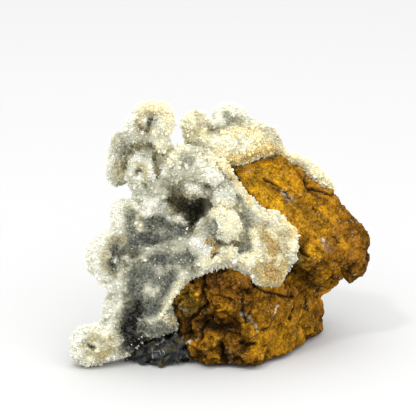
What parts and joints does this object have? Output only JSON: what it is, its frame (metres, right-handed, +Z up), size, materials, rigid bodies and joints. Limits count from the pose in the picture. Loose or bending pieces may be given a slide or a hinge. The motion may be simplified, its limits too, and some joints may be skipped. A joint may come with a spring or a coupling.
{
  "type": "spirit quartz specimen",
  "caption": "Free-standing mineral specimen: knobby drusy quartz crust grown over a rough iron-stained host rock, with a flat base to rest on.",
  "frame": {"origin": "centre of the bounding box at the ground", "axes": "+Z up, +X to the right along the stone's length as seen from the front, -Y towards the viewer"},
  "size_m": [0.1012, 0.0594, 0.0894],
  "materials": {
    "iron_stained_rock": "rough, dull, granular fracture stained ochre and brown by iron",
    "drusy_quartz": "sparkling crust of small clear, cream and smoky grey quartz points",
    "dark_chalcedony": "waxy to glassy fracture, blue-grey with pale veins"
  },
  "bodies": {
    "root": {"matrix_rock": "iron_stained_rock", "quartz_druse": "drusy_quartz", "chalcedony_foot": "dark_chalcedony"}
  },
  "joints": []
}
